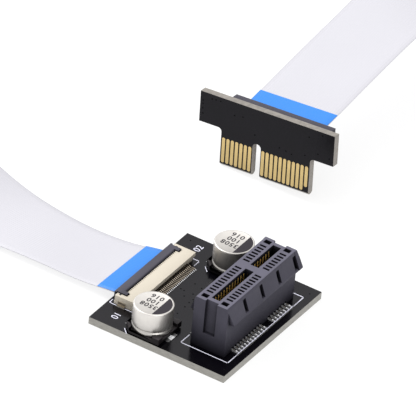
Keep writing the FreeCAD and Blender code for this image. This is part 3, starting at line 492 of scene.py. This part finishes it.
def lettering(name, words, size, material, matrix, spacing=1.0, bold=0.0):
    """Plain digits as a thin raised print."""
    curve = bpy.data.curves.new(name, "FONT")
    curve.body = words
    curve.size = size*MM
    curve.extrude = 0.006*MM
    curve.offset = bold*MM
    curve.align_x = "CENTER"
    curve.align_y = "CENTER"
    curve.space_character = spacing
    curve.space_line = 0.94
    curve.resolution_u = 3
    holder = add_object(name + "_curve", curve)
    bpy.context.view_layer.update()
    shaped = holder.evaluated_get(bpy.context.evaluated_depsgraph_get())
    mesh = bpy.data.meshes.new_from_object(shaped)
    bpy.data.objects.remove(holder)
    place = matrix.copy()
    place.translation = matrix.translation*MM
    mesh.transform(place)
    mesh.name = name
    mesh_piece(name, mesh, material)


# ---------------------------------------------------------------- moulded and pressed parts

softened("socket_housing", 0.07, SOCKET)
softened("socket_end_connector_housing", 0.035, CREAM)
softened("socket_end_lock", 0.05, BLACK, body="socket_end_lock")
softened("card_end_connector_housing", 0.035, CREAM)
softened("card_end_lock", 0.05, BLACK, body="card_end_lock")
for side in CANS:
    softened(f"capacitor_{side}_base", 0.08, BASE)

# the rounded block that ends each side flare: out from the slot's middle, up from the board
EAR = [(3.42, 11.20), (3.56, 11.22), (4.30, 9.55), (5.06, 7.75), (5.07, 7.58), (4.99, 7.42),
       (4.84, 7.33), (4.66, 7.32), (4.50, 7.40), (3.90, 7.85), (3.42, 8.30)]
EAR_TOP = 11.2
EAR_START = 11.6
EAR_END = 12.56
EAR_LEAN = 0.11
EAR_ROUND = 0.12
for side, way in (("inner", -1), ("outer", 1)):
    bm = bmesh.new()
    near_side, far_side = [
        [bm.verts.new((SOCKET_X + way*x, y + lean*(EAR_TOP - z), BOARD_TOP + z)) for x, z in EAR]
        for y, lean in ((EAR_START, 0.0), (EAR_END, EAR_LEAN))]
    caps = [bm.faces.new(near_side), bm.faces.new(far_side)]
    add_walls(bm, near_side, far_side)
    rims = [e for cap in caps for e in cap.edges]
    bmesh.ops.bevel(bm, geom=rims, offset=EAR_ROUND, segments=2, profile=0.6, affect="EDGES")
    new_piece(f"{side}_ear_block", bm, SOCKET, smooth=45, slot="socket_plastic")

# a capacitor's can with its groove and rim: radius and height above the board
CAN_PROFILE = [(0.0, 0.90), (3.55, 0.90), (3.80, 0.93), (3.95, 1.01), (4.0, 1.13), (4.0, 1.50),
               (3.97, 1.60), (3.88, 1.69), (3.80, 1.78), (3.78, 1.90), (3.80, 2.00),
               (3.88, 2.10), (3.97, 2.20), (4.0, 2.32), (4.0, 3.4), (4.0, 4.6), (4.0, 5.94),
               (3.98, 6.04), (3.93, 6.11), (3.85, 6.15), (3.74, 6.16), (3.66, 6.15),
               (3.60, 6.13), (0.0, 6.13)]
CAN_TOP = CAN_PROFILE[-1][1]
CAN_DIGITS = 1.72
# the dark segment printed on its top, from a straight edge out to a radius
MARK_EDGE = 1.55
MARK_RADIUS = 3.62
MARK_STEPS = 24
MARK_HALF = math.acos(MARK_EDGE/MARK_RADIUS)
MARK = [(MARK_RADIUS*math.cos(a), MARK_RADIUS*math.sin(a))
        for a in (-MARK_HALF + 2*MARK_HALF*i/MARK_STEPS for i in range(MARK_STEPS + 1))]
for side, (x, y) in CANS.items():
    place = Matrix.Translation((x, y, BOARD_TOP))
    shell = new_piece(f"{side}_can_shell", lathe(CAN_PROFILE), CAN, smooth=50, matrix=place,
                      slot="can")
    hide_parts(f"capacitor_{side}_can")
    bm = bmesh.new()
    add_prism(bm, MARK, CAN_TOP - 0.01, CAN_TOP + 0.015)
    new_piece(f"{side}_can_mark", bm, DARK_INK, matrix=place, slot="black_plastic")
    digits_place = (Matrix.Translation((x - 0.44, y + 0.5, BOARD_TOP + CAN_TOP + 0.007))
                    @ Matrix.Rotation(math.pi, 4, "Z"))
    lettering(f"{side}_can_digits", "3508\n100\n016", CAN_DIGITS, DIGIT_INK, digits_place,
              spacing=1.12, bold=0.03)


# ---------------------------------------------------------------- ribbon

def spline_points(points):
    """Points of the smooth line that a quadratic NURBS curve takes through a route."""
    curve = bpy.data.curves.new("route", "CURVE")
    curve.dimensions = "3D"
    curve.resolution_u = 12
    spline = curve.splines.new("NURBS")
    spline.points.add(len(points) - 1)
    for point, place in zip(spline.points, points):
        point.co = (*place, 1.0)
    spline.order_u = 3
    spline.use_endpoint_u = True
    holder = bpy.data.objects.new("route", curve)
    mesh = bpy.data.meshes.new_from_object(holder)
    found = [v.co.copy() for v in mesh.vertices]
    bpy.data.objects.remove(holder)
    bpy.data.curves.remove(curve)
    bpy.data.meshes.remove(mesh)
    return found


LINE = spline_points([(x*MM, y*MM, z*MM) for x, y, z, roll in ROUTE])
# the rolls take the same curve, so they come at the same points as the line
ROLLS = [p.x/MM for p in spline_points([(roll*MM, 0.0, 0.0) for x, y, z, roll in ROUTE])]
STRIP_HALF = RIBBON_WIDE/2*MM
STRIP_ROUND = 0.04*MM
STRIP_COLUMNS = 12


def strip_section(low, high):
    """Across and up: a flat band with chamfered edges, divided so that it twists evenly."""
    flat = [(-1 + 2*i/STRIP_COLUMNS)*(STRIP_HALF - STRIP_ROUND)
            for i in range(STRIP_COLUMNS + 1)]
    section = [(-STRIP_HALF, low + STRIP_ROUND)] + [(x, low) for x in flat]
    section += [(STRIP_HALF, low + STRIP_ROUND), (STRIP_HALF, high - STRIP_ROUND)]
    section += [(x, high) for x in flat[::-1]] + [(-STRIP_HALF, high - STRIP_ROUND)]
    return section


def strip(name, line, rolls, low, high, material, slot):
    """A band that follows the line, between two heights above the ribbon's middle."""
    bm = bmesh.new()
    uv = bm.loops.layers.uv.new("UVMap")
    section = strip_section(low, high)
    travelled = [0.0]
    for a, b in zip(line, line[1:]):
        travelled.append(travelled[-1] + (b - a).length)
    rows = []
    for i, spot in enumerate(line):
        before = line[max(0, i - 1)]
        after = line[min(len(line) - 1, i + 1)]
        heading = (after - before).normalized()
        level = Vector((0, 0, 1)).cross(heading).normalized()
        up = heading.cross(level)
        roll = math.radians(rolls[i])
        across = level*math.cos(roll) - up*math.sin(roll)
        normal = up*math.cos(roll) + level*math.sin(roll)
        rows.append([bm.verts.new(spot + across*x + normal*z) for x, z in section])
    count = len(section)
    for i, (a, b) in enumerate(zip(rows, rows[1:])):
        for j in range(count):
            k = (j + 1) % count
            face = bm.faces.new((a[j], a[k], b[k], b[j]))
            marks = [(section[j][0], travelled[i]), (section[k][0], travelled[i]),
                     (section[k][0], travelled[i + 1]), (section[j][0], travelled[i + 1])]
            for loop, (x, length) in zip(face.loops, marks):
                loop[uv].uv = ((x + STRIP_HALF)/(2*STRIP_HALF), length/(2*STRIP_HALF))
    bm.faces.new(rows[0])
    bm.faces.new(rows[-1])
    bmesh.ops.recalc_face_normals(bm, faces=bm.faces)
    return mesh_piece(name, to_mesh(name, bm), material, slot=slot, smooth=60)


def taken(line, rolls, length):
    """The first part of a line, cut to a length."""
    kept, rolled = [line[0]], [rolls[0]]
    for a, b, roll in zip(line, line[1:], rolls[1:]):
        step = (b - a).length
        if length <= step:
            kept.append(a.lerp(b, length/step))
            rolled.append(roll)
            break
        kept.append(b)
        rolled.append(roll)
        length -= step
    return kept, rolled


TAPE_AT_SOCKET = 8.99*MM
TAPE_AT_CARD = 9.2*MM
FACE = RIBBON_THICK/2*MM
TAPE_FACE = FACE + TAPE_THICK*MM
ribbon = strip("ribbon_band", LINE, ROLLS, -FACE, FACE, RIBBON, "ribbon")
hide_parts("ribbon_cable")
socket_line, socket_rolls = taken(LINE, ROLLS, TAPE_AT_SOCKET)
tape_a = strip("tape_socket_end", socket_line, socket_rolls, FACE, TAPE_FACE, TAPE, "blue_tape")
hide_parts("stiffener_socket_end")
card_line, card_rolls = taken(LINE[::-1], ROLLS[::-1], TAPE_AT_CARD)
tape_b = strip("tape_card_end", card_line[::-1], card_rolls[::-1], FACE, TAPE_FACE, TAPE,
               "blue_tape")
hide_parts("stiffener_card_end")


# ---------------------------------------------------------------- print, mask and vias

INK = (BOARD_TOP, BOARD_TOP + 0.02)
MASK_TOP = BOARD_TOP + 0.09
OUTLINE_WIDE = 0.2
BRACKET_WIDE = 0.18
CORNER_WIDE = 0.16
# the outline round the socket, open where the inner contacts and the far end are
NEAR, FAR, LEFT, RIGHT = -13.45, 13.85, 2.9, 13.6
# the brackets at the flat connector's two ends
BRACKET = 11.12
# where the outer contacts' pads run under the outline
PAD_ROW = 10.0
bm = bmesh.new()
add_line(bm, [(LEFT, -10.4), (LEFT, NEAR), (RIGHT, NEAR), (RIGHT, FAR), (11.1, FAR)],
         OUTLINE_WIDE, *INK)
add_line(bm, [(LEFT, 10.4), (LEFT, FAR), (5.2, FAR)], OUTLINE_WIDE, *INK)
add_line(bm, [(-14.9, -9.95), (-14.9, -BRACKET), (-9.0, -BRACKET)], BRACKET_WIDE, *INK)
add_line(bm, [(-9.9, BRACKET), (-8.55, BRACKET), (-8.55, 9.3)], BRACKET_WIDE, *INK)
for x, y in CANS.values():
    add_line(bm, [(x - 4.2, y - 3.05), (x - 3.05, y - 4.2)], CORNER_WIDE, *INK)
add_line(bm, [(RIGHT, -PAD_ROW), (RIGHT, PAD_ROW)], OUTLINE_WIDE, MASK_TOP - 0.01,
         MASK_TOP + 0.015)
new_piece("board_print", bm, WHITE_INK)

# the solder mask laps over the outer ends of the socket's pads, and the outline runs on it
LAP = RIGHT + 0.07
LAP_WIDE = 0.34
bm = bmesh.new()
add_line(bm, [(LAP, -PAD_ROW), (LAP, PAD_ROW)], LAP_WIDE, BOARD_TOP, MASK_TOP)
new_piece("mask_over_pads", bm, BOARD, slot="board")

BOARD_DIGITS = 2.1
DIGITS_TOP = BOARD_TOP + 0.012
ALONG_Y = Matrix.Rotation(math.radians(90), 4, "Z")
lettering("board_digits_near", "01", BOARD_DIGITS, WHITE_INK,
          Matrix.Translation((-11.4, -14.0, DIGITS_TOP)) @ ALONG_Y)
lettering("board_digits_far", "02", BOARD_DIGITS, WHITE_INK,
          Matrix.Translation((-10.9, 14.6, DIGITS_TOP)) @ ALONG_Y)

BOARD_VIAS = [(-6.5, 1.3), (-5.7, 1.2), (-4.7, -0.3), (-3.7, 1.3), (-2.7, -0.2), (-2.8, -1.5),
              (-2.7, -3.2), (-1.0, -2.9), (-2.7, -5.9), (-5.2, 4.4), (-3.4, 3.9), (-4.4, -4.6),
              (0.3, 5.6), (1.4, -4.2), (0.6, 0.6), (1.5, 2.6), (13.9, 15.6), (-13.6, 15.9),
              (14.2, -15.6), (1.6, -16.2)]
CARD_VIAS = [(-12.7, 13.6), (-11.8, 13.7), (-10.7, 13.7), (-14.7, 12.7), (-14.7, 12.0),
             (-14.7, 11.0), (-14.6, 9.9), (-7.4, 11.7), (-5.5, 12.0), (3.1, 8.1), (4.6, 7.9),
             (5.9, 7.6), (8.9, 8.4), (12.6, 13.9), (14.4, 9.4), (9.6, 12.6), (-2.6, 9.0),
             (11.8, 9.6)]
# the card's back has only the vias that its connector leaves clear
CONNECTOR_HALF = 12.4
CONNECTOR_FOOT = 8.2
BACK_VIAS = [(x, z) for x, z in CARD_VIAS if abs(x) > CONNECTOR_HALF or z < CONNECTOR_FOOT]
VIA_RIM = 0.17
VIA_HOLE = 0.08
RIM_TALL = 0.014
FILM = 0.004


def via_piece(name, places, low, high, matrix):
    """Vias under the mask: a raised rim with a small cap at each place."""
    bm = bmesh.new()
    for x, y in places:
        add_prism(bm, ring(14, VIA_RIM, x, y), low, high)
        add_prism(bm, ring(10, VIA_HOLE, x, y), high, high + FILM)
    new_piece(name, bm, VIA, matrix=matrix, slot="board")


UNDERSIDE = Matrix.Scale(-1, 4, (0, 0, 1))
FRONT = CARD_POSE @ Matrix.Rotation(math.radians(90), 4, "X")
BACK = (CARD_POSE @ Matrix.Translation((0, BOARD_THICK, 0))
        @ Matrix.Rotation(math.radians(-90), 4, "X") @ Matrix.Scale(-1, 4, (0, 1, 0)))
via_piece("board_vias", BOARD_VIAS, BOARD_TOP, BOARD_TOP + RIM_TALL, Matrix.Identity(4))
via_piece("board_vias_under", BOARD_VIAS, 0.0, FILM, UNDERSIDE)
via_piece("card_vias_front", CARD_VIAS, 0.0, RIM_TALL, FRONT)
via_piece("card_vias_back", BACK_VIAS, 0.0, RIM_TALL, BACK)


# ---------------------------------------------------------------- solder and contact ends

def add_fillet(bm, x0, x1, y, wide, low, climb):
    """A half-round fillet along X that climbs from low by the end at x1."""
    steps, sides = 6, 8
    skin = 0.015
    rows = []
    for i in range(steps + 1):
        share = i/steps
        x = x0 + (x1 - x0)*share
        tall = climb*share**2.0 + skin
        half = wide/2*(0.75 + 0.25*(1 - share))
        row = []
        for j in range(sides + 1):
            a = math.pi*j/sides
            row.append(bm.verts.new((x, y + math.cos(a)*half, low + math.sin(a)*tall)))
        rows.append(row)
    for a, b in zip(rows, rows[1:]):
        for j in range(sides):
            bm.faces.new((a[j], a[j + 1], b[j + 1], b[j]))
    bm.faces.new(rows[0])
    bm.faces.new(rows[-1][::-1])
    for a, b in zip(rows, rows[1:]):
        bm.faces.new((a[0], b[0], b[-1], a[-1]))


# eleven contacts on the long side of the key and seven on the short side
SLOT_ROWS = [-9.5 + i for i in range(11)] + [3.5 + i for i in range(7)]
WIRES = [-8.25 + WIRE_PITCH*i for i in range(CONDUCTORS)]
SIDES = (-1, 1)
TAIL_WIDE = 0.36
TAIL_SKIN = PAD_TOP + 0.22
LEAD_WIDE = 1.5
WIRE_WIDE = 0.24


def add_tail_fillets(bm, outer, inner, climb):
    """One fillet on every socket tail, between two distances from the slot's middle."""
    for y in SLOT_ROWS:
        for way in SIDES:
            add_fillet(bm, SOCKET_X + way*outer, SOCKET_X + way*inner, y, TAIL_WIDE, TAIL_SKIN,
                       climb)


# solder on the outer end of each socket tail, kept bright there as a painted highlight at the
# tail's bend, and solder at the capacitors' leads
bm = bmesh.new()
add_tail_fillets(bm, outer=5.22, inner=4.72, climb=0.16)
for x, y in CANS.values():
    for way in SIDES:
        add_fillet(bm, x + way*5.0, x + way*4.25, y, LEAD_WIDE, PAD_TOP, climb=0.25)
new_piece("solder_and_tail_highlights", bm, SOLDER, smooth=60, slot="tin")

# the rounded back of the rest of each socket tail, in tin painted dark: painted shade and painted
# reflection of the dark housing
bm = bmesh.new()
add_tail_fillets(bm, outer=4.9, inner=4.1, climb=0.24)
new_piece("shaded_tail_backs", bm, SHADED_TAIL_TIN, smooth=60, slot="tin")

bm = bmesh.new()
for y in WIRES:
    add_fillet(bm, FLAT_X + 1.84, FLAT_X + 1.6, y, WIRE_WIDE, PAD_TOP, climb=0.15)
new_piece("wire_solder", bm, SOLDER, smooth=60, slot="tin")

# the rounded end of each contact leaf, on the slot's walls: across the slot and up from the board
LEAF_END = [(-0.95, 10.45), (-0.91, 10.50), (-0.86, 10.30), (-0.81, 9.80), (-0.80, 9.30),
            (-0.82, 8.80), (-0.92, 8.80), (-0.94, 9.60)]
LEAF_HALF = 0.17
bm = bmesh.new()
for y in SLOT_ROWS:
    for way in SIDES:
        near_side, far_side = [
            [bm.verts.new((SOCKET_X - way*x, y + shift, BOARD_TOP + z)) for x, z in LEAF_END]
            for shift in (-LEAF_HALF, LEAF_HALF)]
        bm.faces.new(near_side)
        bm.faces.new(far_side[::-1])
        add_walls(bm, near_side, far_side)
new_piece("slot_contact_ends", bm, CONTACT_GOLD, smooth=50, slot="gold")


# ---------------------------------------------------------------- studio, in metres

# a pale floor that glows a little, as a light table does, so that shadows stay faint
FLOOR_GLOW = 0.75
FLOOR_LEVEL = -0.02*MM
s = Shader("floor_light_table", rough=0.9, specular=0.1)
s.colour(s.ramp(s.noise(scale=3.0), [(0.3, (0.24, 0.24, 0.24)), (0.7, (0.26, 0.26, 0.26))]))
s.shader.inputs["Emission Color"].default_value = (1.0, 1.0, 1.0, 1.0)
s.shader.inputs["Emission Strength"].default_value = FLOOR_GLOW
bm = bmesh.new()
bmesh.ops.create_grid(bm, x_segments=1, y_segments=1, size=3.0)
floor = add_object("floor", to_mesh("floor", bm))
floor.location = (0, 0, FLOOR_LEVEL)
floor.data.materials.append(s.material)

# the sky is dim at the horizon and bright overhead, like a studio under one large soft panel
HORIZON_LIGHT = 0.5
OVERHEAD_LIGHT = 1.3
world = bpy.data.worlds.new("studio")
world.use_nodes = True
tree = world.node_tree
height = tree.nodes.new("ShaderNodeSeparateXYZ")
tree.links.new(tree.nodes.new("ShaderNodeTexCoord").outputs["Generated"],
               height.inputs["Vector"])
glow = tree.nodes.new("ShaderNodeMapRange")
glow.inputs["To Min"].default_value = HORIZON_LIGHT
glow.inputs["To Max"].default_value = OVERHEAD_LIGHT
tree.links.new(height.outputs["Z"], glow.inputs["Value"])
tree.links.new(glow.outputs["Result"], tree.nodes["Background"].inputs["Strength"])
tree.nodes["Background"].inputs["Color"].default_value = (1.0, 1.0, 1.0, 1.0)
bpy.context.scene.world = world

# the point on the floor in the middle of the view
AIM = Vector((-0.0178, 0.02902, 0.0))


def lamp(name, place, power, size):
    """A square soft lamp in metres and watts, turned to the aim."""
    light = bpy.data.lights.new(name, "AREA")
    light.energy = power
    light.size = size
    holder = add_object(name, light)
    holder.location = place
    holder.rotation_euler = (AIM - Vector(place)).to_track_quat("-Z", "Y").to_euler()


lamp("key", (-0.72, 0.05, 0.75), power=7.5, size=0.6)
lamp("fill", (0.75, -0.45, 0.50), power=3.0, size=0.5)

# a long lens at the photograph's angle, which sees this much across at the aim
RIGHTWARD = Vector((0.84051, 0.53571, 0.08092)).normalized()
UPWARD = Vector((-0.36849, 0.45576, 0.81025)).normalized()
BACKWARD = RIGHTWARD.cross(UPWARD)
DISTANCE = 3.5
SEEN_ACROSS = 0.08057
SENSOR = 36.0
camera_data = bpy.data.cameras.new("camera")
camera_data.sensor_width = SENSOR
camera_data.lens = SENSOR*DISTANCE/SEEN_ACROSS
camera_data.clip_end = 10.0
camera = add_object("camera", camera_data)
turn = Matrix((RIGHTWARD, UPWARD, BACKWARD)).transposed().to_4x4()
camera.matrix_world = Matrix.Translation(AIM + BACKWARD*DISTANCE) @ turn
bpy.context.scene.camera = camera
bpy.context.scene.view_settings.view_transform = "Standard"
